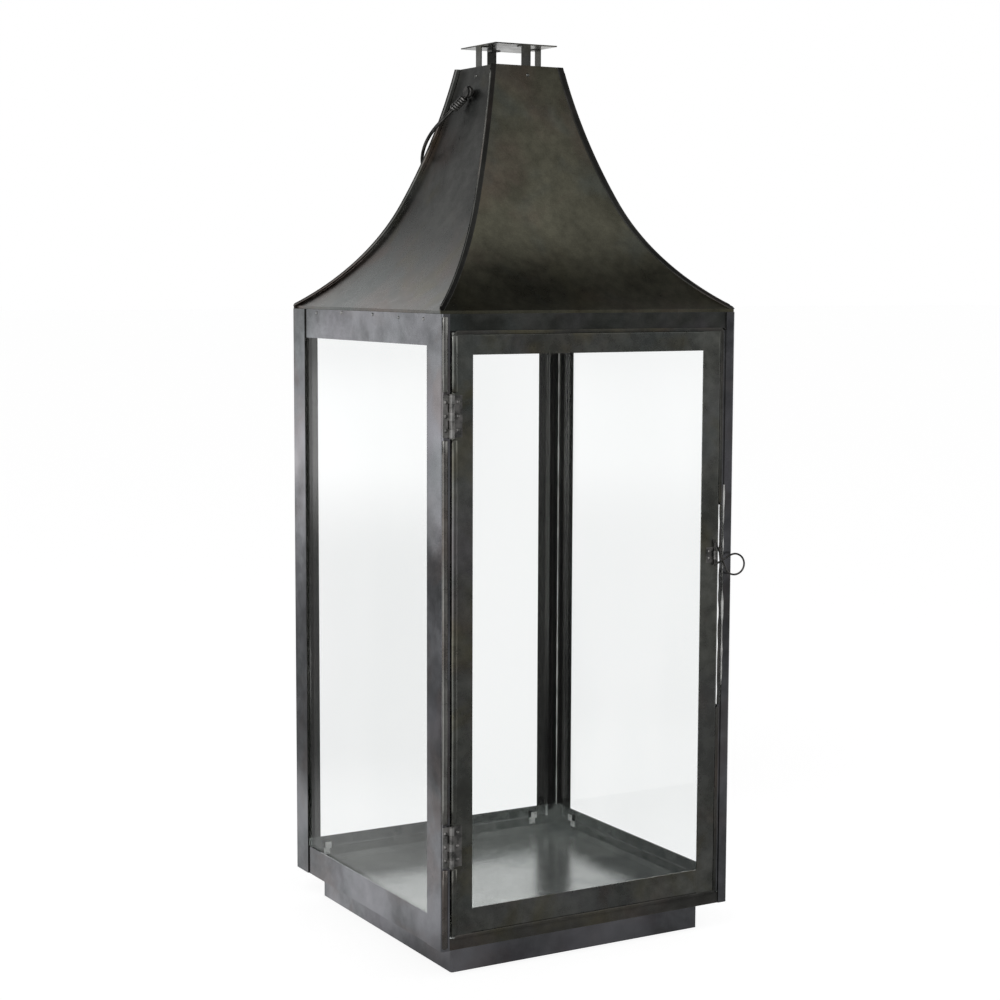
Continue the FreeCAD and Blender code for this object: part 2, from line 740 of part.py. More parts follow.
def build_pull_ring():
    """A wire ring whose two tails cross and turn into the barrel, made about the barrel's middle."""
    centre_x = pull_ring_reach
    centre_z = -pull_ring_drop
    cross_x = pull_cross_reach
    cross_z = -pull_cross_drop
    run = cross_x - centre_x
    rise = cross_z - centre_z
    apart = root(run * run + rise * rise)
    heading = angle_of(rise, run)
    spread = arc_cosine(pull_ring_radius / apart)
    tail_inside = root(apart * apart - pull_ring_radius * pull_ring_radius)
    ring = doc.addObject("Part::Torus", "pull_ring_round")
    ring.setExpression("Radius1", pull_ring_radius.formula)
    ring.setExpression("Radius2", pull_wire.formula)
    ring.setExpression("Angle3", f"360 deg - 2 * {spread.formula}")
    place(ring, centre_x, 0, centre_z, pitch=-(heading + spread), roll=90)
    pieces = [ring]
    for up in (1, -1):
        touch = heading + spread * up
        touch_x = centre_x + pull_ring_radius * sine(touch + 90 * DEGREE)
        touch_z = centre_z + pull_ring_radius * sine(touch)
        lean_x = (cross_x - touch_x) / tail_inside
        lean_z = (cross_z - touch_z) / tail_inside
        length = -touch_x / lean_x
        turn_z = touch_z + lean_z * length
        pitch = angle_of(lean_x, lean_z)
        tail = f"pull_tail_{'lower' if up > 0 else 'upper'}"
        pieces.append(rod(tail, pull_wire, length, touch_x, 0, touch_z, pitch=pitch))
        pieces.append(ball(tail + "_turn", pull_wire, turn_z))
        inner_z = up * (pull_barrel / 2 - pull_end)
        low, high = in_order(turn_z, inner_z)
        pieces.append(rod(tail + "_end", pull_wire, high - low, z=low))
    finish(place(fused("pull_ring", pieces), pull_x, pull_y, pull_height, yaw=-pull_rest))


# Roof sheets and their seams

def flare():
    """Corners, arc centres and the knee's outward direction of the roof's outside, as plain numbers."""
    edge = (roof_half.value, lip_top.value)
    knee = (knee_half.value, knee_height.value)
    top = (throat_half.value, throat_top.value)
    slope = math.radians(throat_slope.value)
    outward = (math.sin(slope), math.cos(slope))
    upper = arc_centre(top, outward, knee)
    reach = math.dist(upper, knee)
    knee_outward = ((upper[0] - knee[0]) / reach, (upper[1] - knee[1]) / reach)
    lower = arc_centre(knee, knee_outward, edge)
    return edge, knee, top, lower, upper, knee_outward


def arc_centre(start, outward, end):
    """Centre of the arc that leaves start square to the outward direction and passes through end."""
    run = (end[0] - start[0], end[1] - start[1])
    radius = (run[0] ** 2 + run[1] ** 2) / (2 * (run[0] * outward[0] + run[1] * outward[1]))
    return (start[0] + radius * outward[0], start[1] + radius * outward[1])


def across_at(centre, radius, level):
    return centre[0] - math.sqrt(radius ** 2 - (level - centre[1]) ** 2)


def level_at(centre, radius, across):
    return centre[1] - math.sqrt(radius ** 2 - (across - centre[0]) ** 2)


def draw_flare(sketch, thickness, lipped):
    """The flared section: two tangent arcs, thickened inward with an eave lip, or outward as a strip."""
    edge, knee, top, lower, upper, outward = flare()
    side = thickness.value if lipped else -thickness.value
    lower_radius = math.dist(lower, edge) + side
    upper_radius = math.dist(upper, top) + side
    far_knee = (knee[0] - side * outward[0], knee[1] - side * outward[1])
    far_top = (across_at(upper, upper_radius, top[1]), top[1])
    inner = roof_half - roof_sheet
    if lipped:
        far_edge = (inner.value, level_at(lower, lower_radius, inner.value))
    else:
        far_edge = (across_at(lower, lower_radius, edge[1]), edge[1])
    face_low = add_arc(sketch, edge, knee, lower)
    face_high = add_arc(sketch, knee, top, upper)
    rim = add_line(sketch, top, far_top)
    back_high = add_arc(sketch, far_top, far_knee, upper)
    back_low = add_arc(sketch, far_knee, far_edge, lower)
    probe = add_line(sketch, top, (top[0] + 1, top[1] - math.tan(math.radians(throat_slope.value))))
    sketch.toggleConstruction(probe)

    def join(kind, *ends):
        sketch.addConstraint(Sketcher.Constraint(kind, *ends))

    join("Tangent", face_low[0], face_low[2], face_high[0], face_high[1])
    join("Tangent", face_high[0], face_high[2], probe, 1)
    join("Tangent", back_high[0], back_high[2], back_low[0], back_low[1])
    join("Coincident", face_high[0], face_high[2], rim, 1)
    join("Coincident", rim, 2, back_high[0], back_high[1])
    join("Coincident", face_low[0], 3, back_low[0], 3)
    join("Coincident", face_high[0], 3, back_high[0], 3)
    bind_measure(sketch, "Distance", [face_low[0], face_low[2], back_low[0], back_low[1]], thickness)
    pin_point(sketch, face_low[0], face_low[1], roof_half, lip_top)
    pin_point(sketch, face_low[0], face_low[2], knee_half, knee_height)
    pin_point(sketch, face_high[0], face_high[2], throat_half, throat_top)
    pin_point(sketch, probe, 2, throat_half + 1, throat_top - tangent(throat_slope))
    bind_measure(sketch, "DistanceY", [-1, 1, rim, 2], throat_top)
    if not lipped:
        foot = add_line(sketch, far_edge, edge)
        join("Coincident", back_low[0], back_low[2], foot, 1)
        join("Coincident", foot, 2, face_low[0], face_low[1])
        bind_measure(sketch, "DistanceY", [-1, 1, foot, 1], lip_top)
        return
    corners = [(inner, eave), (roof_half, eave)]
    lip_in = add_line(sketch, far_edge, [step.value for step in corners[0]])
    lip_low = add_line(sketch, *([step.value for step in corner] for corner in corners))
    lip_out = add_line(sketch, [step.value for step in corners[1]], edge)
    join("Coincident", back_low[0], back_low[2], lip_in, 1)
    join("Coincident", lip_in, 2, lip_low, 1)
    join("Coincident", lip_low, 2, lip_out, 1)
    join("Coincident", lip_out, 2, face_low[0], face_low[1])
    bind_measure(sketch, "DistanceX", [-1, 1, lip_in, 1], inner)
    pin_point(sketch, lip_in, 2, *corners[0])
    pin_point(sketch, lip_low, 2, *corners[1])


def hip_cut(past, hand):
    """Plan outline of all that lies outside one hip line, which runs past the diagonal."""
    near = throat_half / 2
    far = body_width
    return [
        (hand * (near + past), near),
        (hand * (far + past), far),
        (hand * (far + past), near),
    ]


def roof_blank(label, past):
    """A roof sheet facing +Y, trimmed along both hips."""
    body = new_body(label)
    section = sketch_on(body, "YZ_Plane")
    draw_flare(section, roof_sheet, True)
    add_pad(body, section, body_width, True)
    doc.recompute()
    plan = sketch_on(body, "XY_Plane")
    for hand in (1, -1):
        draw_outline(plan, hip_cut(past, hand))
    cut_through(body, plan)
    return body


def strap_rivet_place(yaw):
    """Where a strap's rivet sits on the outside of the roof sheet on that side."""
    out = throat_half + strap_rivet_drop / tangent(throat_slope) + fit
    turn = math.radians(yaw)
    return (-round(math.sin(turn)) * out, round(math.cos(turn)) * out, throat_top - strap_rivet_drop)


def build_roof():
    for side, yaw in SIDES.items():
        across = side in ("front", "back")
        past = hip_overhang if across else -hip_relief
        blank = place(roof_blank(f"roof_{side}_blank", past), yaw=yaw)
        drills = [rivet_drill(f"roof_{side}_drill", 3 * strap_sheet, *strap_rivet_place(yaw),
                              yaw=yaw, roll=-throat_slope)]
        if not across:
            start = bail_wall - stud_collar
            hand = 1 if side == "right" else -1
            drills.append(rod(f"roof_{side}_stud_hole", stud_shank + fit / 2, 2 * stud_collar,
                              hand * start, 0, bail_pivot, pitch=hand * 90))
        finish(cut_away(f"roof_panel_{side}", blank, drills))


def build_seams():
    """Folded strips along the hip edges of the front and back sheets."""
    hands = {"front": {"left": 1, "right": -1}, "back": {"left": -1, "right": 1}}
    for side, ends in hands.items():
        for end, hand in ends.items():
            body = new_body(f"roof_seam_{side}_{end}")
            section = sketch_on(body, "YZ_Plane")
            draw_flare(section, seam_sheet, False)
            add_pad(body, section, body_width, True)
            doc.recompute()
            plan = sketch_on(body, "XY_Plane")
            draw_outline(plan, hip_cut(hip_overhang, hand))
            near = throat_half / 2
            inside = hip_overhang - seam_width
            draw_outline(plan, [
                (-hand * body_width, near),
                (hand * (near + inside), near),
                (hand * (body_width + inside), body_width),
                (-hand * body_width, body_width),
            ])
            cut_through(body, plan)
            outward = -seam_gap if side == "front" else seam_gap
            finish(place(body, y=outward, yaw=SIDES[side]))


# Throat straps and cap

def build_straps():
    foot_low = throat_top - strap_foot
    spread = strap_foot / tangent(throat_slope)
    inside = strap_face - strap_sheet
    outline = [
        (strap_face + spread, foot_low),
        (strap_face, throat_top),
        (strap_face, cap_low),
        (strap_face - strap_tab, cap_low),
        (strap_face - strap_tab, cap_low - strap_sheet),
        (inside, cap_low - strap_sheet),
        (inside, throat_top),
        (inside + spread, foot_low),
    ]
    rivets = []
    grip = roof_sheet + strap_sheet + 2 * fit
    for side, yaw in SIDES.items():
        blank = place(extruded(f"strap_{side}_blank", "YZ_Plane", outline, strap_width, True), yaw=yaw)
        where = strap_rivet_place(yaw)
        drill = rivet_drill(f"strap_{side}_drill", 3 * strap_sheet, *where, yaw=yaw, roll=-throat_slope)
        finish(cut_away(f"vent_strap_{side}", blank, [drill]))
        rivets.append(rivet(f"strap_rivet_{side}", grip, *where, yaw=yaw, roll=-throat_slope))
    finish(grouped("vent_strap_rivets", rivets))


def build_cap():
    edge = strap_face + cap_lip
    finish(bar("vent_cap", (-edge, edge), (-edge, edge), (cap_low, cap_low + cap_sheet)))


# Bail and its studs

def build_studs():
    tail = bail_wall - stud_tail_room
    collar = bail_wall + stud_stand
    journal = collar + stud_flange
    head = journal + 2 * bail_wire + 2 * stud_room
    for side in ("left", "right"):
        stud = turned(f"bail_stud_{side}", [
            (tail - stud_flange, tail, stud_collar),
            (tail, collar, stud_shank),
            (collar, journal, stud_collar),
            (journal, head, stud_journal),
            (head, head + stud_flange, stud_head),
        ])
        finish(place(stud, z=bail_pivot, yaw=SIDES[side]))


def build_bail():
    """One wire: half is swept from the middle of the grip to the eye, then mirrored."""
    body = new_body("bail")
    path = sketch_on(body, "XY_Plane")
    eye = (bail_eye_x.value, bail_eye.value)
    middle = (0, bail_centre.value)
    apart = math.dist(eye, middle)
    touch = math.atan2(eye[0], middle[1] - eye[1]) + math.acos(bail_radius.value / apart)
    meet = (bail_radius.value * math.sin(touch), middle[1] - bail_radius.value * math.cos(touch))
    crown = (0, middle[1] + bail_radius.value)
    grip = add_arc(path, crown, meet, middle)
    leg = add_line(path, meet, eye)
    path.addConstraint(Sketcher.Constraint("Tangent", grip[0], grip[2], leg, 1))
    pin_point(path, grip[0], 3, 0, bail_centre)
    bind_measure(path, "Radius", [grip[0]], bail_radius)
    path.addConstraint(Sketcher.Constraint("PointOnObject", grip[0], grip[1], -2))
    pin_point(path, leg, 2, bail_eye_x, bail_eye)
    section = sketch_on(body, "YZ_Plane")
    round_section(section, bail_centre + bail_radius, 0, bail_wire)
    sweep = body.newObject("PartDesign::AdditivePipe", "bail_sweep")
    sweep.Profile = section
    sweep.Spine = (path, ["Edge1", "Edge2"])
    doc.recompute()
    eye_section = sketch_on(body, "XY_Plane")
    round_section(eye_section, bail_eye_x, bail_eye, bail_wire)
    eye_ring = body.newObject("PartDesign::Revolution", "bail_eye_ring")
    eye_ring.Profile = eye_section
    eye_ring.ReferenceAxis = (eye_section, ["H_Axis"])
    eye_ring.Angle = 360
    doc.recompute()
    mirror = body.newObject("PartDesign::Mirrored", "bail_pair")
    mirror.Originals = [sweep, eye_ring]
    mirror.MirrorPlane = (next(part for part in body.Origin.OriginFeatures if part.Role == "YZ_Plane"), [""])
    body.Tip = mirror
    finish(place(body, z=bail_pivot, roll=-bail_rest))


def round_section(sketch, x, y, radius):
    circle = sketch.addGeometry(Part.Circle(Vector(size(x).value, size(y).value, 0), Vector(0, 0, 1),
                                            radius.value))
    bind_measure(sketch, "Radius", [circle], radius)
    pin_point(sketch, circle, 3, x, y)


# Build, check and export

def check(piece):
    """Stops the build on a piece that failed, and returns its number of solids."""
    shape = piece.Shape
    if shape.isNull() or not shape.isValid() or not shape.Solids:
        raise RuntimeError(f"{piece.Label} has no sound shape")
    return len(shape.Solids)


build_plinth()
build_posts()
build_rails()
build_tray()
build_panes()
build_door_frame()
build_door_pane()
build_stop()
build_hinges()
build_pull_bracket()
build_pull_ring()
build_roof()
build_seams()
build_straps()
build_cap()
build_studs()
build_bail()
doc.recompute()

for thing in doc.Objects:
    if "Invalid" in thing.State or "Error" in thing.State:
        raise RuntimeError(f"{thing.Label} did not build: {thing.State}")

os.makedirs("parts", exist_ok=True)
for piece in finished:
    solids = check(piece)
    piece.Shape.exportStep(f"parts/{piece.Label}.step")
    print(f"{piece.Label}: {solids} solid(s), {piece.Shape.Volume:.1f} mm3")
print(f"{len(finished)} sub-parts")
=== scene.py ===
import json
import math
import bpy
from mathutils import Matrix, Vector, noise as field


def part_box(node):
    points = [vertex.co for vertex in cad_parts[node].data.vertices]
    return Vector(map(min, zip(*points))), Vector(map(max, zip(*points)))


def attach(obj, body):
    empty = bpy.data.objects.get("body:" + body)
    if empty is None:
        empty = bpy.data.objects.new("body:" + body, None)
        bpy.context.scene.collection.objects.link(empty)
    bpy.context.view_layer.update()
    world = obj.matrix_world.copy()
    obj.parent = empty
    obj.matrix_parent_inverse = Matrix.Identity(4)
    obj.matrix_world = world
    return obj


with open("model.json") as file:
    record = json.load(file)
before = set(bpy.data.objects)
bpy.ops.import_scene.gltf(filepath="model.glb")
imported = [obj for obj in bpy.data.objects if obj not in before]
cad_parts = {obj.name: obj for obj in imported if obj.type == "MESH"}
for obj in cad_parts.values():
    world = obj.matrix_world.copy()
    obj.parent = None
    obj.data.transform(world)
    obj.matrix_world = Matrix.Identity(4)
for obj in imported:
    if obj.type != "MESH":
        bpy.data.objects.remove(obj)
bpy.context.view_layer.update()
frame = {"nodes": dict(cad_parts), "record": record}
scene = bpy.context.scene
MM = 0.001

# Camera, as fitted to the photograph: metres and degrees
CAMERA_PLACE = (-0.901, -1.554, 0.564)
CAMERA_YAW = 29.91
CAMERA_PITCH = 6.2
CAMERA_ROLL = 0.19
FOCAL_PIXELS = 2069.3
IMAGE_PIXELS = 1000
SENSOR_MM = 36


def add_camera():
    data = bpy.data.cameras.new("photo_camera")
    data.sensor_width = SENSOR_MM
    data.lens = SENSOR_MM * FOCAL_PIXELS / IMAGE_PIXELS
    camera = bpy.data.objects.new("photo_camera", data)
    scene.collection.objects.link(camera)
    heading = Matrix.Rotation(math.radians(-CAMERA_YAW), 4, "Z")
    tilt = Matrix.Rotation(math.radians(90 - CAMERA_PITCH), 4, "X")
    roll = Matrix.Rotation(math.radians(CAMERA_ROLL), 4, "Z")
    camera.matrix_world = Matrix.Translation(CAMERA_PLACE) @ heading @ tilt @ roll
    scene.camera = camera


# Node helpers

def add_node(tree, kind, inputs=None, **settings):
    """Adds a shader node; an input is given by name or number, as a value or as another node's socket."""
    node = tree.nodes.new(kind)
    for name, value in settings.items():
        setattr(node, name, value)
    for key, value in (inputs or {}).items():
        if isinstance(value, bpy.types.NodeSocket):
            tree.links.new(value, node.inputs[key])
        else:
            node.inputs[key].default_value = value
    return node


def math_of(tree, operation, first, second):
    return add_node(tree, "ShaderNodeMath", {0: first, 1: second}, operation=operation).outputs[0]


def product(tree, first, *others):
    for other in others:
        first = math_of(tree, "MULTIPLY", first, other)
    return first


def largest(tree, first, *others):
    for other in others:
        first = math_of(tree, "MAXIMUM", first, other)
    return first


def spread(tree, value, low_in, high_in, low_out=0.0, high_out=1.0):
    """Maps a range of values to another, eased at both ends."""
    inputs = {"Value": value, "From Min": low_in, "From Max": high_in,
              "To Min": low_out, "To Max": high_out}
    node = add_node(tree, "ShaderNodeMapRange", inputs, interpolation_type="SMOOTHSTEP")
    return node.outputs["Result"]


def blend_colour(tree, amount, first, second, mode="MIX"):
    inputs = {0: amount, 6: first, 7: second}
    return add_node(tree, "ShaderNodeMix", inputs, data_type="RGBA", blend_type=mode).outputs[2]


def grey_of(tree, value):
    return add_node(tree, "ShaderNodeCombineColor", {0: value, 1: value, 2: value}).outputs[0]


def place_on_object(tree, shift=0.0, stretch=(1, 1, 1)):
    place = add_node(tree, "ShaderNodeTexCoord").outputs["Object"]
    inputs = {"Vector": place, "Location": (shift, shift, shift), "Scale": stretch}
    return add_node(tree, "ShaderNodeMapping", inputs).outputs["Vector"]


def noise(tree, place, per_metre, detail=4.0, roughness=0.55, distortion=0.0):
    inputs = {"Vector": place, "Scale": per_metre, "Detail": detail, "Roughness": roughness,
              "Distortion": distortion}
    return add_node(tree, "ShaderNodeTexNoise", inputs).outputs["Fac"]


def colour(red, green, blue):
    return (red, green, blue, 1.0)


def new_material(name):
    material = bpy.data.materials.new(name)
    material.use_nodes = True
    tree = material.node_tree
    return material, tree, tree.nodes["Principled BSDF"]


# Colours shared by the metals
BRIGHT_STEEL = colour(0.50, 0.49, 0.47)
# Lilac of the rubbed patches on the sheet: partly rubbed steel, partly painted sheen
LILAC_RUB_AND_SHEEN = colour(0.475, 0.475, 0.515)
OLIVE = colour(0.17, 0.155, 0.095)
RUST = colour(0.19, 0.135, 0.115)
BLUE_GREEN = colour(0.125, 0.15, 0.15)
VIOLET = colour(0.165, 0.15, 0.175)

# How fine the patterns of the metals are, in noise cells per metre
CLOUDS = 13
GRAIN = 95
SPECKS = 900
SWELLS = 11
SMUDGES_AND_SHEEN = 11
FIRST_STAIN = 9
NEXT_STAIN = 3
IRON_MOTTLE = 140
IRON_SPECKS = 1400

# How far the patterns of stains and smudges lie apart (the smudges partly painted sheen), how wide an edge
# is rubbed, how deep iron is dented
STAIN_SHIFT = 1.7
SMUDGE_AND_SHEEN_SHIFT = 0.9
SHEET_EDGE = 0.8 * MM
IRON_EDGE = 0.6 * MM
IRON_DENTS = 0.1 * MM


def stained(tree, base, shift, per_metre, amount, stain):
    """Lays one soft stain of the patina over the colour so far."""
    cover = noise(tree, place_on_object(tree, shift), per_metre, 4, 0.55, 0.5)
    return blend_colour(tree, spread(tree, cover, 0.50, 0.68, 0.0, amount), base, stain)


def worn_edges(tree, radius, breakup, most):
    """How much an edge is rubbed bright: where a rounded normal leaves the true one, broken up by noise."""
    soft = add_node(tree, "ShaderNodeBevel", {"Radius": radius}, samples=4).outputs["Normal"]
    true = add_node(tree, "ShaderNodeNewGeometry").outputs["True Normal"]
    likeness = add_node(tree, "ShaderNodeVectorMath", {0: soft, 1: true}, operation="DOT_PRODUCT")
    turned = spread(tree, likeness.outputs["Value"], 0.985, 0.82)
    patchy = spread(tree, breakup, 0.40, 0.62, 0.1 * most, most)
    return product(tree, turned, patchy)


def faces_inward(tree):
    """One on the faces turned toward the lantern's upright axis, none on the outer faces."""
    where = add_node(tree, "ShaderNodeTexCoord").outputs
    level = add_node(tree, "ShaderNodeVectorMath", {0: where["Object"], 1: (1, 1, 0)}, operation="MULTIPLY")
    turned = add_node(tree, "ShaderNodeVectorMath", {0: level.outputs["Vector"], 1: where["Normal"]},
                      operation="DOT_PRODUCT")
    return spread(tree, turned.outputs["Value"], -0.02, 0.02, 1.0, 0.0)


def patina_sheet(name, dark, light, stains, shift, shine, waves, smudge_and_sheen=0.0, wear=0.12, mottle=0.14,
                 inside=None, metal=1.0):
    """Blackened sheet metal: cloudy tones, stains, rubbed smudges and edges, and hand-worked waves.

    stains lists (amount, colour); shine is the least and most roughness; waves is in metres; the smudging,
    wear and mottle are how strongly the sheet is rubbed bright in lilac patches that are partly painted
    sheen, its edges are worn and its grain shows; inside is the colour of the faces toward the candle where
    it differs; metal is how metallic it looks.
    """
    material, tree, shader = new_material(name)
    place = place_on_object(tree, shift)
    clouds = noise(tree, place, CLOUDS, 6, 0.60, 0.5)
    grain = noise(tree, place, GRAIN, 5, 0.6)
    specks = noise(tree, place, SPECKS, 2)
    base = blend_colour(tree, spread(tree, clouds, 0.36, 0.66), dark, light)
    for number, (amount, stain) in enumerate(stains):
        stain_shift = shift + STAIN_SHIFT * (number + 1)
        base = stained(tree, base, stain_shift, FIRST_STAIN + NEXT_STAIN * number, amount, stain)
    if inside:
        base = blend_colour(tree, faces_inward(tree), base, inside)
    grained = spread(tree, grain, 0.30, 0.70, 1 - mottle, 1 + mottle)
    base = blend_colour(tree, 1.0, base, grey_of(tree, grained), "MULTIPLY")
    speckled = spread(tree, specks, 0.30, 0.70, 0.92, 1.08)
    base = blend_colour(tree, 1.0, base, grey_of(tree, speckled), "MULTIPLY")
    # Lilac patches on the outer faces: rubbed steel, and painted sheen that lightens the sides
    if smudge_and_sheen:
        rubbed = noise(tree, place_on_object(tree, shift + SMUDGE_AND_SHEEN_SHIFT), SMUDGES_AND_SHEEN, 3, 0.45, 0.3)
        rubbed = spread(tree, rubbed, 0.46, 0.76, 0.0, smudge_and_sheen)
        if inside:
            rubbed = product(tree, rubbed, math_of(tree, "SUBTRACT", 1.0, faces_inward(tree)))
        base = blend_colour(tree, rubbed, base, LILAC_RUB_AND_SHEEN)
    base = blend_colour(tree, worn_edges(tree, SHEET_EDGE, clouds, wear), base, BRIGHT_STEEL)
    tree.links.new(base, shader.inputs["Base Color"])
    shader.inputs["Metallic"].default_value = metal
    cloudy_grain = math_of(tree, "ADD", clouds, grain)
    tree.links.new(spread(tree, cloudy_grain, 0.75, 1.25, *shine), shader.inputs["Roughness"])
    swell = noise(tree, place, SWELLS, 2, 0.4)
    beaten = product(tree, grain, 0.2 * mottle)
    height = math_of(tree, "ADD", swell, beaten)
    bump = add_node(tree, "ShaderNodeBump", {"Strength": 1.0, "Distance": waves, "Height": height})
    tree.links.new(bump.outputs["Normal"], shader.inputs["Normal"])
    return material


def worked_iron(name, dark, light, shine, rub, metal=1.0):
    """Iron of the small fittings and wires, rubbed bright on its edges; metal is how metallic it looks."""
    material, tree, shader = new_material(name)
    place = place_on_object(tree)
    mottle = noise(tree, place, IRON_MOTTLE, 5, 0.6)
    specks = noise(tree, place, IRON_SPECKS, 2)
    base = blend_colour(tree, spread(tree, mottle, 0.35, 0.65), dark, light)
    base = blend_colour(tree, worn_edges(tree, IRON_EDGE, mottle, rub), base, BRIGHT_STEEL)
    tree.links.new(base, shader.inputs["Base Color"])
    shader.inputs["Metallic"].default_value = metal
    tree.links.new(spread(tree, mottle, 0.3, 0.7, *shine), shader.inputs["Roughness"])
    bump = add_node(tree, "ShaderNodeBump", {"Strength": 0.5, "Distance": IRON_DENTS, "Height": specks})
    tree.links.new(bump.outputs["Normal"], shader.inputs["Normal"])
    return material


# Glass: tints of a clean and a filmed stretch, the filmed one partly painted reflection, what lamps see
# through it, and its smeared patches and dust

CLEAN_GLASS = colour(0.984, 0.990, 0.990)
FILMED_GLASS_AND_REFLECTION = colour(0.958, 0.966, 0.965)
LAMP_TINT = colour(0.95, 0.97, 0.96)
GLASS_IOR = 1.25
SMEARS_AND_REFLECTION = 5.0
SMEAR_AND_REFLECTION_SHIFT = 4.7
SMEAR_AND_REFLECTION_STRETCH = (1, 1, 0.3)
DUST = 14
MOST_DUST = 0.02


def clear_glass(name):
    """Float glass that lets lamps through, with faint upright smeared patches, partly painted reflection,
    and a breath of dust.
    """
    material, tree, shader = new_material(name)
    dust = noise(tree, place_on_object(tree), DUST, 4)
    smears_and_reflection = noise(tree, place_on_object(tree, SMEAR_AND_REFLECTION_SHIFT, SMEAR_AND_REFLECTION_STRETCH), SMEARS_AND_REFLECTION, 2, 0.4, 0.5)
    # Grey patches of the pane: smears, and painted reflection
    film_and_reflection = blend_colour(tree, spread(tree, smears_and_reflection, 0.42, 0.60), CLEAN_GLASS, FILMED_GLASS_AND_REFLECTION)
    tree.links.new(film_and_reflection, shader.inputs["Base Color"])
    shader.inputs["Transmission Weight"].default_value = 1.0
    shader.inputs["IOR"].default_value = GLASS_IOR
    tree.links.new(spread(tree, dust, 0.4, 0.7, 0.0, MOST_DUST), shader.inputs["Roughness"])
    rays = add_node(tree, "ShaderNodeLightPath")
    through = add_node(tree, "ShaderNodeBsdfTransparent", {"Color": LAMP_TINT})
    mix = add_node(tree, "ShaderNodeMixShader", {
        0: rays.outputs["Is Shadow Ray"], 1: shader.outputs["BSDF"], 2: through.outputs["BSDF"]})
    tree.links.new(mix.outputs["Shader"], tree.nodes["Material Output"].inputs["Surface"])
    return material


# The lantern's materials

BOX_STAINS = ((0.45, VIOLET), (0.40, BLUE_GREEN), (0.35, RUST))
ROOF_STAINS = ((0.50, RUST), (0.45, BLUE_GREEN), (0.45, OLIVE))
# Olive-heavy stains of the front pieces; on the front roof panel they are also painted olive sheen
FRONT_STAINS_AND_SHEEN = ((0.60, OLIVE), (0.35, RUST), (0.30, BLUE_GREEN))
DOOR_STAINS = BOX_STAINS + FRONT_STAINS_AND_SHEEN[:1]
BOX_DARK = colour(0.145, 0.149, 0.157)
BOX_LIGHT = colour(0.255, 0.259, 0.276)
BOX_INSIDE = colour(0.060, 0.060, 0.055)
TRAY_DARK = colour(0.39, 0.405, 0.395)
TRAY_LIGHT = colour(0.49, 0.505, 0.49)


def box_patina(name, inside):
    """The sheet of the posts and rails; inside is the colour of its faces toward the candle."""
    return patina_sheet(name, BOX_DARK, BOX_LIGHT, BOX_STAINS, 0.0, (0.15, 0.25), 3.2 * MM, 0.5,
                        inside=inside)


box_sheet = box_patina("box_patina", BOX_INSIDE)
rail_sheet = box_patina("rail_patina", TRAY_DARK)
door_sheet = patina_sheet("door_patina", colour(0.140, 0.145, 0.132), colour(0.245, 0.250, 0.228),
                          DOOR_STAINS, 3.1, (0.24, 0.36), 1.2 * MM, 0.15)
roof_sheet = patina_sheet("roof_patina", colour(0.133, 0.135, 0.129), colour(0.222, 0.224, 0.214),
                          ROOF_STAINS, 6.7, (0.26, 0.36), 0.8 * MM)
# The front roof panel's own olive copy of the roof patina: painted olive sheen
front_roof_painted_sheen = patina_sheet("front_roof_painted_sheen_patina", colour(0.110, 0.107, 0.080), colour(0.182, 0.177, 0.131),
                          FRONT_STAINS_AND_SHEEN, 8.3, (0.27, 0.31), 0.6 * MM)
# The roof seams are near black: painted shade of the dark bands along the hips
seam_painted_shade = patina_sheet("seam_patina_painted_shade", colour(0.030, 0.030, 0.028), colour(0.060, 0.060, 0.056),
                          ROOF_STAINS[:1], 2.2, (0.40, 0.55), 0.6 * MM)
hip_sheet = patina_sheet("hip_patina", colour(0.10, 0.10, 0.094), colour(0.21, 0.21, 0.196),
                         ROOF_STAINS[:1], 5.2, (0.26, 0.38), 0.3 * MM)
# A lighter copy of the patina for the roll on the front corner: painted highlight along that corner
rim_painted_highlight = patina_sheet("rim_patina_painted_highlight", colour(0.20, 0.20, 0.19), colour(0.36, 0.36, 0.34),
                         ROOF_STAINS[:1], 5.2, (0.24, 0.34), 0.3 * MM)
lower_sheet = patina_sheet("lower_patina", colour(0.085, 0.085, 0.079), colour(0.148, 0.145, 0.135),
                           FRONT_STAINS_AND_SHEEN, 4.4, (0.52, 0.68), 0.8 * MM)
header_sheet = patina_sheet("header_patina", colour(0.062, 0.066, 0.060), colour(0.108, 0.110, 0.104),
                            BOX_STAINS, 1.4, (0.42, 0.58), 0.8 * MM)
tray_sheet = patina_sheet("tray_patina", TRAY_DARK, TRAY_LIGHT, BOX_STAINS[1:2], 9.4, (0.20, 0.26),
                          0.1 * MM, wear=0.0, mottle=0.05, metal=0.8)
wire_iron = worked_iron("wire_iron", colour(0.05, 0.05, 0.048), colour(0.14, 0.135, 0.13),
                        (0.32, 0.5), 0.3)
hinge_iron = worked_iron("hinge_iron", colour(0.14, 0.14, 0.135), colour(0.34, 0.33, 0.32),
                         (0.26, 0.42), 0.7)
hinge_plate = worked_iron("hinge_plate", colour(0.24, 0.24, 0.23), colour(0.44, 0.43, 0.42),
                          (0.26, 0.42), 0.6, 0.7)
clip_tin = worked_iron("clip_tin", colour(0.62, 0.63, 0.62), colour(0.86, 0.87, 0.85),
                       (0.22, 0.40), 0.0, 0.3)
solder = worked_iron("solder", colour(0.30, 0.30, 0.30), colour(0.58, 0.58, 0.57), (0.25, 0.45), 0.4)
# Pale sealer of the back corners; the same pale colour paints the highlight in the slit beside the door
sealer_and_highlight = worked_iron("sealer_and_highlight", colour(0.55, 0.55, 0.53), colour(0.88, 0.88, 0.86), (0.30, 0.45), 0.0, 0.2)
glass = clear_glass("pane_glass")


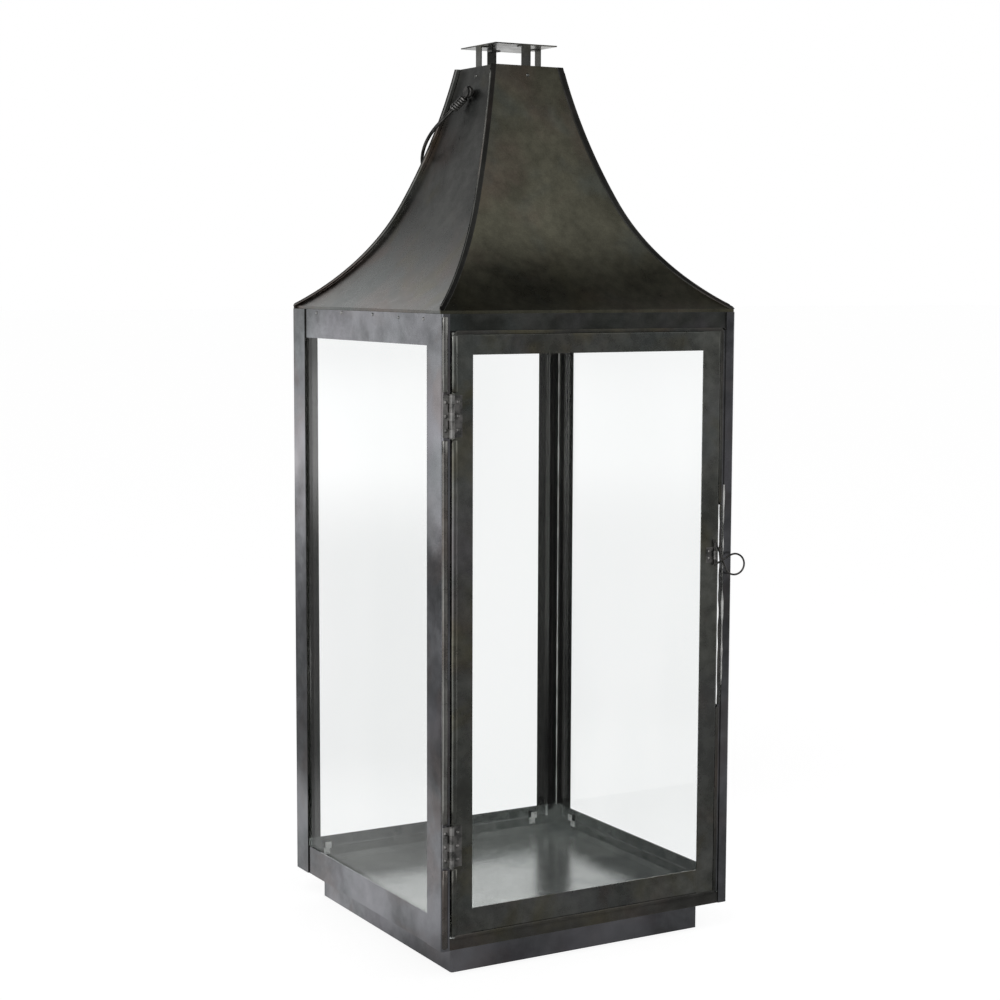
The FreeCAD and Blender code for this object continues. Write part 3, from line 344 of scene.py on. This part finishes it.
def sheet_for(node):
    if node == "roof_panel_front":
        return front_roof_painted_sheen
    if node.startswith("roof_seam"):
        return seam_painted_shade
    if node.startswith(("roof_", "vent_")):
        return roof_sheet
    if node == "header_front":
        return header_sheet
    if node == "sill_front":
        return lower_sheet
    if node.startswith("bottom_rail"):
        return rail_sheet
    if node.startswith("door_") and node != "door_stop":
        return door_sheet
    return box_sheet


def paint_nodes():
    """Gives each node the material of its slot, or that of its own place on the lantern."""
    slots = {part["node"]: part["material_slot"] for part in frame["record"]["subparts"]}
    by_slot = {"tray_sheet": tray_sheet, "iron_hardware": hinge_iron, "clip_tin": clip_tin,
               "clear_glass": glass}
    for name, piece in frame["nodes"].items():
        material = by_slot.get(slots[name]) or sheet_for(name)
        if name.startswith("bail") or name == "pull_ring":
            material = wire_iron
        elif name.endswith("_post_leaf"):
            material = hinge_plate
        elif name == "vent_strap_rivets":
            material = roof_sheet
        piece.data.materials.clear()
        piece.data.materials.append(material)


# Pieces added to the frame

def new_piece(name, points, faces, material, body):
    mesh = bpy.data.meshes.new(name)
    mesh.from_pydata(points, [], faces)
    mesh.update()
    mesh.shade_smooth()
    mesh.materials.append(material)
    piece = bpy.data.objects.new(name, mesh)
    scene.collection.objects.link(piece)
    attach(piece, body)


def circle(centre, radius, first, second, sides):
    """Points round a centre, in the plane of two directions."""
    turns = [2 * math.pi * side / sides for side in range(sides)]
    return [centre + radius * (math.cos(turn) * first + math.sin(turn) * second) for turn in turns]


def closed_rings(rings):
    """Points and faces for rings of points joined in order, with both ends closed."""
    count = len(rings[0])
    points = [point for ring in rings for point in ring]
    faces = []
    for step in range(len(rings) - 1):
        for side in range(count):
            after = (side + 1) % count
            near = step * count
            faces.append((near + side, near + after, near + count + after, near + count + side))
    faces.append(tuple(reversed(range(count))))
    faces.append(tuple(range(len(points) - count, len(points))))
    return points, faces


# Wire wound round the bail's legs below its eyes; the first three sizes are the bail's own

BAIL_WIRE = 1.5 * MM
EYE_REACH = 3.78 * MM
EYE_INSET = 2.8 * MM
WRAP_WIRE = 1.15 * MM
WRAP_SEAT = 0.9
WRAP_START = 3.0 * MM
WRAP_PITCH = 2.4 * MM
WRAP_TURNS = 6
WRAP_STEPS = 16
WRAP_SIDES = 8


def bail_leg(side):
    """Where a bail leg leaves its eye, and its direction toward the round part, read off the frame."""
    pivot = next(Vector(joint["pos_m"]) for joint in frame["record"]["behaviour"]["joints"]
                 if joint["name"] == "bail_pivot")
    low, high = (Vector(corner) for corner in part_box("bail"))
    hang = Vector((0, high.y - BAIL_WIRE - pivot.y, low.z + BAIL_WIRE - pivot.z))
    radius = high.x - BAIL_WIRE
    centre = hang.length - radius
    stud_low, stud_high = (Vector(corner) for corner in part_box(f"bail_stud_{side}"))
    eye_x = max(abs(stud_low.x), abs(stud_high.x)) - EYE_INSET
    apart = math.hypot(eye_x, centre - EYE_REACH)
    touch = math.atan2(eye_x, centre - EYE_REACH) + math.acos(radius / apart)
    meet_x = radius * math.sin(touch)
    meet_reach = centre - radius * math.cos(touch)
    hand = -1 if side == "left" else 1
    out = hang.normalized()
    start = pivot + Vector((hand * eye_x, 0, 0)) + out * EYE_REACH
    end = pivot + Vector((hand * meet_x, 0, 0)) + out * meet_reach
    return start, (end - start).normalized()


def add_bail_wrap(side):
    start, along = bail_leg(side)
    across = along.orthogonal().normalized()
    other = along.cross(across)
    reach = BAIL_WIRE + WRAP_SEAT * WRAP_WIRE
    rings = []
    for step in range(WRAP_TURNS * WRAP_STEPS + 1):
        turn = 2 * math.pi * step / WRAP_STEPS
        outward = math.cos(turn) * across + math.sin(turn) * other
        centre = start + along * (WRAP_START + WRAP_PITCH * step / WRAP_STEPS) + outward * reach
        rings.append(circle(centre, WRAP_WIRE, outward, along, WRAP_SIDES))
    points, faces = closed_rings(rings)
    # The wraps take the lighter hinge iron instead of the bail's dark wire iron: painted highlight on the
    # wraps
    new_piece(f"bail_wrap_{side}", points, faces, hinge_iron, "bail")


# Rolled edges of the front corner and round the door

ROLL_SINK = 0.5 * MM
ROLL_CLEAR = 1.6 * MM
ROLL_ROW = 12 * MM
ROLL_END = 1.2 * MM
ROLL_END_SHARE = 0.4
ROLL_SWAY = 0.2 * MM
ROLL_SWAYS_PER_METRE = 22
DOOR_ROLL_WIDTH = 5.4 * MM
DOOR_ROLL_PROUD = 1.0 * MM
POST_ROLL_INSET = 0.4 * MM
POST_ROLL_WIDTH = 6.4 * MM
POST_ROLL_PROUD = 0.9 * MM
LIP_WIDTH = 3.0 * MM
LIP_PROUD = 0.4 * MM
LIP_GAP = 0.05 * MM

# Profiles of a roll, in shares of its width and its rise: half round, and a fold with a sloping tail
ROLL_STEPS = 12
ROLL_TURNS = [math.pi * step / ROLL_STEPS for step in range(ROLL_STEPS + 1)]
HALF_ROUND = [((1 - math.cos(turn)) / 2, math.sin(turn)) for turn in ROLL_TURNS]
FOLD_SHARE = 0.22
FOLD_TAIL = [(0.6, 0.58), (1.0, 0.1)]
FOLDED = [(FOLD_SHARE * (1 - math.cos(turn / 2)), math.sin(turn / 2)) for turn in ROLL_TURNS] + FOLD_TAIL


def roll_rings(start, end, width, base, proud, profile):
    """Rings of a rolled edge along a line on a front face, a little unsteady and drawn in at both ends.

    start and end are (x, z); base is the y of the roll's flat back; profile lists shares of width and rise.
    """
    start, end = Vector((start[0], base, start[1])), Vector((end[0], base, end[1]))
    outward = Vector((0, -1, 0))
    across = (end - start).normalized().cross(outward)
    length = (end - start).length
    rows = int(length / ROLL_ROW)
    steps = [0, ROLL_END] + [length * row / rows for row in range(1, rows)] + [length - ROLL_END, length]
    rings = []
    for step in steps:
        spot = start.lerp(end, step / length)
        taper = ROLL_END_SHARE if step in (0, length) else 1.0
        wander = Vector((0.7, spot.x * ROLL_SWAYS_PER_METRE, spot.z * ROLL_SWAYS_PER_METRE))
        spot = spot + across * (ROLL_SWAY * field.noise(wander))
        rings.append([spot + taper * (outward * (rise * proud) + across * ((share - 0.5) * width))
                      for share, rise in profile])
    return rings


def add_roll(name, start, end, width, base, proud, material, body, profile=HALF_ROUND):
    points, faces = closed_rings(roll_rings(start, end, width, base, proud, profile))
    new_piece(name, points, faces, material, body)


def add_hinge_rolls(name, carrier, leaf, inset, width, proud, material, body, profile=HALF_ROUND):
    """Lengths of rolled edge on the carrier's hinge edge, broken where the hinge leaves lie."""
    low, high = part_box(carrier)
    cuts = [low[2] + ROLL_CLEAR]
    for place in ("lower", "upper"):
        leaf_low, leaf_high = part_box(f"hinge_{place}_{leaf}")
        cuts += [leaf_low[2] - ROLL_CLEAR, leaf_high[2] + ROLL_CLEAR]
    cuts.append(high[2] - ROLL_CLEAR)
    x = low[0] + inset + width / 2
    for number in range(len(cuts) // 2):
        add_roll(f"{name}_{number}", (x, cuts[2 * number]), (x, cuts[2 * number + 1]), width,
                 low[1] + ROLL_SINK, proud + ROLL_SINK, material, body, profile)


# The slot in the door's stop, which shows as a slit beside the door

SLOT_MARGIN = 12 * MM
TONGUE_INSET = 6 * MM


def slot_corners():
    """Corners of the stop that lie well inside its length, which are those of its slot."""
    low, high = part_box("door_stop")
    corners = [spot.co for spot in frame["nodes"]["door_stop"].data.vertices]
    return [spot for spot in corners if low[2] + SLOT_MARGIN < spot.z < high[2] - SLOT_MARGIN]


def slot_ends():
    """Heights of the lower and upper end of the slot."""
    heights = [spot.z for spot in slot_corners()]
    return min(heights), max(heights)


def tongue_edge():
    """The x of the left edge of the tongue that stands in the slot, past the flange behind the door."""
    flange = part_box("door_stop")[0][0] + TONGUE_INSET
    return min(spot.x for spot in slot_corners() if spot.x > flange)


def add_door_lips():
    """Slim lips that lap over the gaps above, below and beside the door, open at the stop's slot."""
    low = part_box("door_stile_hinge")[0]
    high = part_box("door_stile_latch")[1]
    slot_bottom, slot_top = slot_ends()
    left = low[0] + 2 * ROLL_CLEAR
    lips = {"top": ((left, high[2]), (high[0], high[2])),
            "bottom": ((left, low[2]), (high[0], low[2])),
            "upper": ((high[0], slot_top + ROLL_CLEAR), (high[0], high[2])),
            "lower": ((high[0], low[2]), (high[0], slot_bottom - ROLL_CLEAR))}
    for place, (start, end) in lips.items():
        add_roll(f"door_lip_{place}", start, end, LIP_WIDTH, low[1] - LIP_GAP, LIP_PROUD, lower_sheet,
                 "door")


# Rolled rims of the front hip seams

RIM_WIRE = 0.8 * MM
RIM_SIDES = 10
RIM_FACING = 0.95


def add_hip_rim(end, material):
    """A thin roll along the outer edge of one front seam, through the middle of that edge."""
    hand = -1 if end == "left" else 1
    outward = Vector((hand, 1, 0)).normalized()
    edge = [face.center for face in frame["nodes"][f"roof_seam_front_{end}"].data.polygons
            if face.normal.dot(outward) > RIM_FACING]
    edge = sorted((Vector(spot) for spot in edge), key=lambda spot: spot.z)
    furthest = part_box("post_front_right")[1][0] - RIM_WIRE
    path = [(below + above) / 2 for below, above in zip(edge, edge[1:])]
    path = [spot for spot in path if abs(spot.x) < furthest]
    rings = []
    for number, spot in enumerate(path):
        along = path[min(number + 1, len(path) - 1)] - path[max(number - 1, 0)]
        other = along.cross(outward).normalized()
        rings.append(circle(spot, RIM_WIRE, outward, other, RIM_SIDES))
    points, faces = closed_rings(rings)
    new_piece(f"hip_rim_{end}", points, faces, material, "lantern_body")


# Uneven beads: sealer where two panes meet in the back corners, and ragged edges of the slit by the door,
# the pale one a painted highlight

BEAD_WIRE = 0.8 * MM
BEAD_ROW = 5 * MM
BEAD_SIDES = 8
BEAD_SEAT = 0.6
SLIT_WIRE = 0.75 * MM
SLIT_ROW = 2.5 * MM
SLIT_RISE = 17 * MM
SLIT_SEAT = 0.4
BURR_DEPTH = 1.5 * MM


def uneven(place, per_metre, middle, swing, least=0.0, most=2.0):
    """A share of a bead's wire for each height; place is where in the noise it is read."""
    def share(z):
        wander = field.noise(Vector((place[0], place[1], per_metre * z)))
        return min(most, max(least, middle + swing * wander))
    return share


def add_bead(name, foot, top, row_height, wire, share, material):
    """An upright bead from its foot to a height, its thickness changing along it."""
    x, y, bottom = foot
    rows = int((top - bottom) / row_height)
    rings = []
    for row in range(rows + 1):
        z = bottom + (top - bottom) * row / rows
        rings.append(circle(Vector((x, y, z)), wire * share(z), Vector((1, 0, 0)), Vector((0, 1, 0)),
                            BEAD_SIDES))
    points, faces = closed_rings(rings)
    new_piece(name, points, faces, material, "lantern_body")


def add_glass_bead(side):
    """The sealer in one back corner, between the rails."""
    hand = -1 if side == "left" else 1
    inner_x = min(abs(corner[0]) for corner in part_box(f"pane_{side}"))
    inner_y = min(corner[1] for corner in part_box("pane_back"))
    seat = BEAD_SEAT * BEAD_WIRE
    foot = (hand * (inner_x - seat), inner_y - seat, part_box("bottom_rail_back")[1][2])
    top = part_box("top_rail_back")[0][2]
    add_bead(f"glass_bead_{side}", foot, top, BEAD_ROW, BEAD_WIRE, uneven((hand, 0.4), 60, 0.75, 0.5),
             sealer_and_highlight)


def add_slit_beads():
    """A pale ragged bead on the post's edge beside the slit, a painted highlight there, and a dark one on
    the stop's tongue.
    """
    bottom, top = slot_ends()
    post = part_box("post_front_right")[0]
    pale_foot = (post[0], post[1] + SLIT_SEAT * SLIT_WIRE, bottom + SLIT_RISE)
    dark_foot = (tongue_edge(), post[1] + BURR_DEPTH, bottom)
    add_bead("slit_painted_highlight", pale_foot, top + SLIT_RISE, SLIT_ROW, SLIT_WIRE,
             uneven((2.3, 0.6), 95, 0.6, 1.1, least=0.12), sealer_and_highlight)
    add_bead("slit_burr", dark_foot, top, SLIT_ROW, SLIT_WIRE,
             uneven((5.1, 0.2), 70, 0.95, 1.0, most=1.25), lower_sheet)


# Solder tacks under the eave

SIDES = {"left": Vector((-1, 0, 0)), "right": Vector((1, 0, 0)), "back": Vector((0, 1, 0))}
TACK_PLACES = (-0.66, -0.30, 0.13, 0.47, 0.78)
TACK_LENGTH = 1.9 * MM
TACK_WIDTH = 1.5 * MM
TACK_RISE = 0.55 * MM
TACK_DROP = 3.2 * MM
TACK_SCATTER = 1.2 * MM
TACK_UNEVEN = 0.35
TACK_VARIETY = 0.4
TACK_RINGS = 5
TACK_SIDES = 14


def tack(centre, outward, length, width, seed):
    """Points and faces of one low, uneven blob on an upright face; it is longest along the face."""
    up = Vector((0, 0, 1))
    along = up.cross(outward)
    rings = []
    for ring in range(TACK_RINGS):
        lean = math.pi / 2 * ring / TACK_RINGS
        loop = []
        for side in range(TACK_SIDES):
            turn = 2 * math.pi * side / TACK_SIDES
            wander = field.noise(Vector((math.cos(turn) + seed, math.sin(turn), ring * 0.4)))
            swell = math.cos(lean) * (1 + TACK_UNEVEN * wander)
            flat = along * math.cos(turn) * length + up * math.sin(turn) * width
            loop.append(centre + flat * swell + outward * (math.sin(lean) * TACK_RISE))
        rings.append(loop)
    return closed_rings(rings)


def tack_spots(side, outward):
    """Solder spots along the top of one side's rail, a little apart from regular places."""
    low, high = (Vector(corner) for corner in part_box(f"top_rail_{side}"))
    along = Vector((0, 0, 1)).cross(outward)
    half_run = abs((high - low).dot(along)) / 2
    face = (low + high) / 2 + outward * abs((high - low).dot(outward)) / 2
    spots = []
    for number, share in enumerate(TACK_PLACES):
        size = 1 + TACK_VARIETY * field.noise(Vector((share * 9, outward.x, outward.y)))
        centre = face + along * (share * half_run)
        centre.z = high.z - (TACK_DROP + TACK_SCATTER * math.sin(5 * number))
        spots.append((centre, TACK_LENGTH * size, TACK_WIDTH * size))
    return spots


def add_tacks(side, outward):
    points, faces = [], []
    for number, (centre, length, width) in enumerate(tack_spots(side, outward)):
        more, joined = tack(centre, outward, length, width, 1.3 * number)
        faces += [tuple(index + len(points) for index in face) for face in joined]
        points += more
    new_piece(f"solder_tacks_{side}", points, faces, solder, "lantern_body")


# Studio: a white sweep behind and below, a dim room in front and above, a window on each side

SKYLINE = 0.76
DARKEST = 0.05
ROOM_LOW = 0.16
ROOM_HIGH = 0.52
WINDOWS = (((-0.64, -0.77, 0.1), 0.95), ((0.97, -0.25, 0.08), 1.0))
WINDOW_EDGE = (0.82, 0.93)
FLOOR_REACH = 30.0
FLOOR_DIM = 0.20
FLOOR_NEAR = 0.74
FLOOR_GAP = 0.25
FLOOR_FAR = 1.40
FLOOR_GREY = colour(0.75, 0.75, 0.75)
SHADOW_GREY = colour(0.35, 0.35, 0.35)
FLOOR_GLOW = 0.88
WHITE = colour(1, 1, 1)
KEY_PLACE = (-1.8, -1.35, 2.5)
KEY_AIM = (0, 0, 0.4)
KEY_WIDTH = 1.2
KEY_WATTS = 14


def facing(tree, aim, direction, low, high):
    """How nearly a ray looks one way, eased from none to full between two cosines."""
    toward = Vector(direction).normalized()
    likeness = add_node(tree, "ShaderNodeVectorMath", {0: aim, 1: toward}, operation="DOT_PRODUCT")
    return spread(tree, likeness.outputs["Value"], low, high)


def ray_kinds(tree):
    """Whether a ray is seen straight or only through glass, and whether metal has reflected it."""
    rays = add_node(tree, "ShaderNodeLightPath").outputs
    reflected = math_of(tree, "MINIMUM", rays["Glossy Depth"], 1.0)
    straight = largest(tree, rays["Is Camera Ray"], rays["Is Transmission Ray"])
    straight = product(tree, straight, math_of(tree, "SUBTRACT", 1.0, reflected))
    return straight, largest(tree, reflected, rays["Is Glossy Ray"])


def white_sweep(tree, parts):
    """The backdrop as metal sees it: dimmer at the skyline, ending overhead and past its left edge."""
    behind = spread(tree, parts["Y"], -0.05, 0.45)
    below_top = spread(tree, parts["Z"], 0.50, 0.75, 1.0, DARKEST)
    strip = spread(tree, parts["Z"], 0.04, 0.12, SKYLINE, 1.0)
    past_edge = spread(tree, parts["X"], -0.50, 0.30, 0.85, 0.0)
    shaded = product(tree, past_edge, spread(tree, parts["Z"], 0.05, 0.12))
    return product(tree, behind, below_top, math_of(tree, "SUBTRACT", 1.0, shaded), strip)


def dim_room(tree, parts):
    """The room in front of the lantern, a little lighter toward its ceiling."""
    in_front = spread(tree, parts["Y"], -0.04, -0.42)
    return product(tree, in_front, spread(tree, parts["Z"], 0.05, 0.85, ROOM_LOW, ROOM_HIGH))


def add_world():
    world = bpy.data.worlds.new("studio")
    scene.world = world
    world.use_nodes = True
    tree = world.node_tree
    background = tree.nodes["Background"]
    aim = add_node(tree, "ShaderNodeTexCoord").outputs["Generated"]
    parts = add_node(tree, "ShaderNodeSeparateXYZ", {"Vector": aim}).outputs
    seen = largest(tree, white_sweep(tree, parts), dim_room(tree, parts), DARKEST)
    for direction, strength in WINDOWS:
        seen = largest(tree, seen, product(tree, facing(tree, aim, direction, *WINDOW_EDGE), strength))
    straight = ray_kinds(tree)[0]
    seen = add_node(tree, "ShaderNodeMix", {0: straight, 2: seen, 3: 1.0}).outputs[0]
    tree.links.new(grey_of(tree, seen), background.inputs["Color"])
    background.inputs["Strength"].default_value = 1.0


def floor_mirrored(tree):
    """How bright metal sees each spot of the floor: dim in front, bright behind and at the front corners.

    Away from the lantern it goes from near to a gap, up to far, and down to the skyline's brightness.
    """
    place = add_node(tree, "ShaderNodeTexCoord").outputs["Object"]
    parts = add_node(tree, "ShaderNodeSeparateXYZ", {"Vector": place}).outputs
    away = add_node(tree, "ShaderNodeVectorMath", {0: place}, operation="LENGTH").outputs["Value"]
    near = spread(tree, away, 0.45, 0.8, FLOOR_NEAR, FLOOR_GAP)
    far = spread(tree, away, 2.3, 4.6, 0.0, FLOOR_FAR - FLOOR_GAP)
    fade = spread(tree, away, 6.0, 14.0, 0.0, FLOOR_FAR - SKYLINE)
    along = math_of(tree, "SUBTRACT", math_of(tree, "ADD", near, far), fade)
    behind = spread(tree, parts["Y"], -0.14, 0.08, FLOOR_DIM, 1.0)
    left = product(tree, spread(tree, parts["X"], -0.25, -0.5), spread(tree, parts["Y"], -0.2, -0.4))
    right = product(tree, spread(tree, parts["X"], 0.45, 0.8), spread(tree, parts["Y"], -0.7, -0.35))
    return largest(tree, product(tree, behind, along), FLOOR_DIM, left, right)


def add_floor():
    """White floor that keeps the shadow; the metal's reflections see it end in front of the lantern."""
    mesh = bpy.data.meshes.new("floor")
    corners = [(-FLOOR_REACH, -FLOOR_REACH, 0), (FLOOR_REACH, -FLOOR_REACH, 0),
               (FLOOR_REACH, FLOOR_REACH, 0), (-FLOOR_REACH, FLOOR_REACH, 0)]
    mesh.from_pydata(corners, [], [(0, 1, 2, 3)])
    floor = bpy.data.objects.new("floor", mesh)
    scene.collection.objects.link(floor)
    material, tree, shader = new_material("floor_white")
    tree.nodes.remove(shader)
    straight, reflected = ray_kinds(tree)
    plain = add_node(tree, "ShaderNodeBsdfDiffuse", {"Color": FLOOR_GREY})
    shadowed = add_node(tree, "ShaderNodeBsdfDiffuse", {"Color": SHADOW_GREY})
    white = add_node(tree, "ShaderNodeEmission", {"Color": WHITE, "Strength": FLOOR_GLOW})
    lit = add_node(tree, "ShaderNodeAddShader", {0: shadowed.outputs[0], 1: white.outputs[0]})
    mirror = add_node(tree, "ShaderNodeEmission", {"Color": WHITE, "Strength": floor_mirrored(tree)})
    mix = add_node(tree, "ShaderNodeMixShader", {0: reflected, 1: plain.outputs[0], 2: mirror.outputs[0]})
    mix = add_node(tree, "ShaderNodeMixShader", {0: straight, 1: mix.outputs[0], 2: lit.outputs[0]})
    tree.links.new(mix.outputs[0], tree.nodes["Material Output"].inputs["Surface"])
    mesh.materials.append(material)


def add_lamp(name, place, aim, width, watts):
    data = bpy.data.lights.new(name, "AREA")
    data.shape = "SQUARE"
    data.size = width
    data.energy = watts
    lamp = bpy.data.objects.new(name, data)
    scene.collection.objects.link(lamp)
    lamp.location = place
    lamp.rotation_euler = (Vector(aim) - Vector(place)).to_track_quat("-Z", "Y").to_euler()


# The whole scene

add_camera()
paint_nodes()
for side, outward in SIDES.items():
    add_tacks(side, outward)
add_hinge_rolls("door_roll", "door_stile_hinge", "door_leaf", 0.0, DOOR_ROLL_WIDTH, DOOR_ROLL_PROUD,
                door_sheet, "door")
# The corner roll takes the lighter rim patina, a painted highlight
add_hinge_rolls("post_roll", "post_front_left", "post_leaf", POST_ROLL_INSET, POST_ROLL_WIDTH,
                POST_ROLL_PROUD, rim_painted_highlight, "lantern_body", FOLDED)
add_door_lips()
add_slit_beads()
add_hip_rim("left", hip_sheet)
# The right rim takes the near-black seam colour, the same painted shade
add_hip_rim("right", seam_painted_shade)
for side in ("left", "right"):
    add_bail_wrap(side)
    add_glass_bead(side)
add_world()
add_floor()
add_lamp("soft_key", KEY_PLACE, KEY_AIM, KEY_WIDTH, KEY_WATTS)

scene.view_settings.view_transform = "Standard"
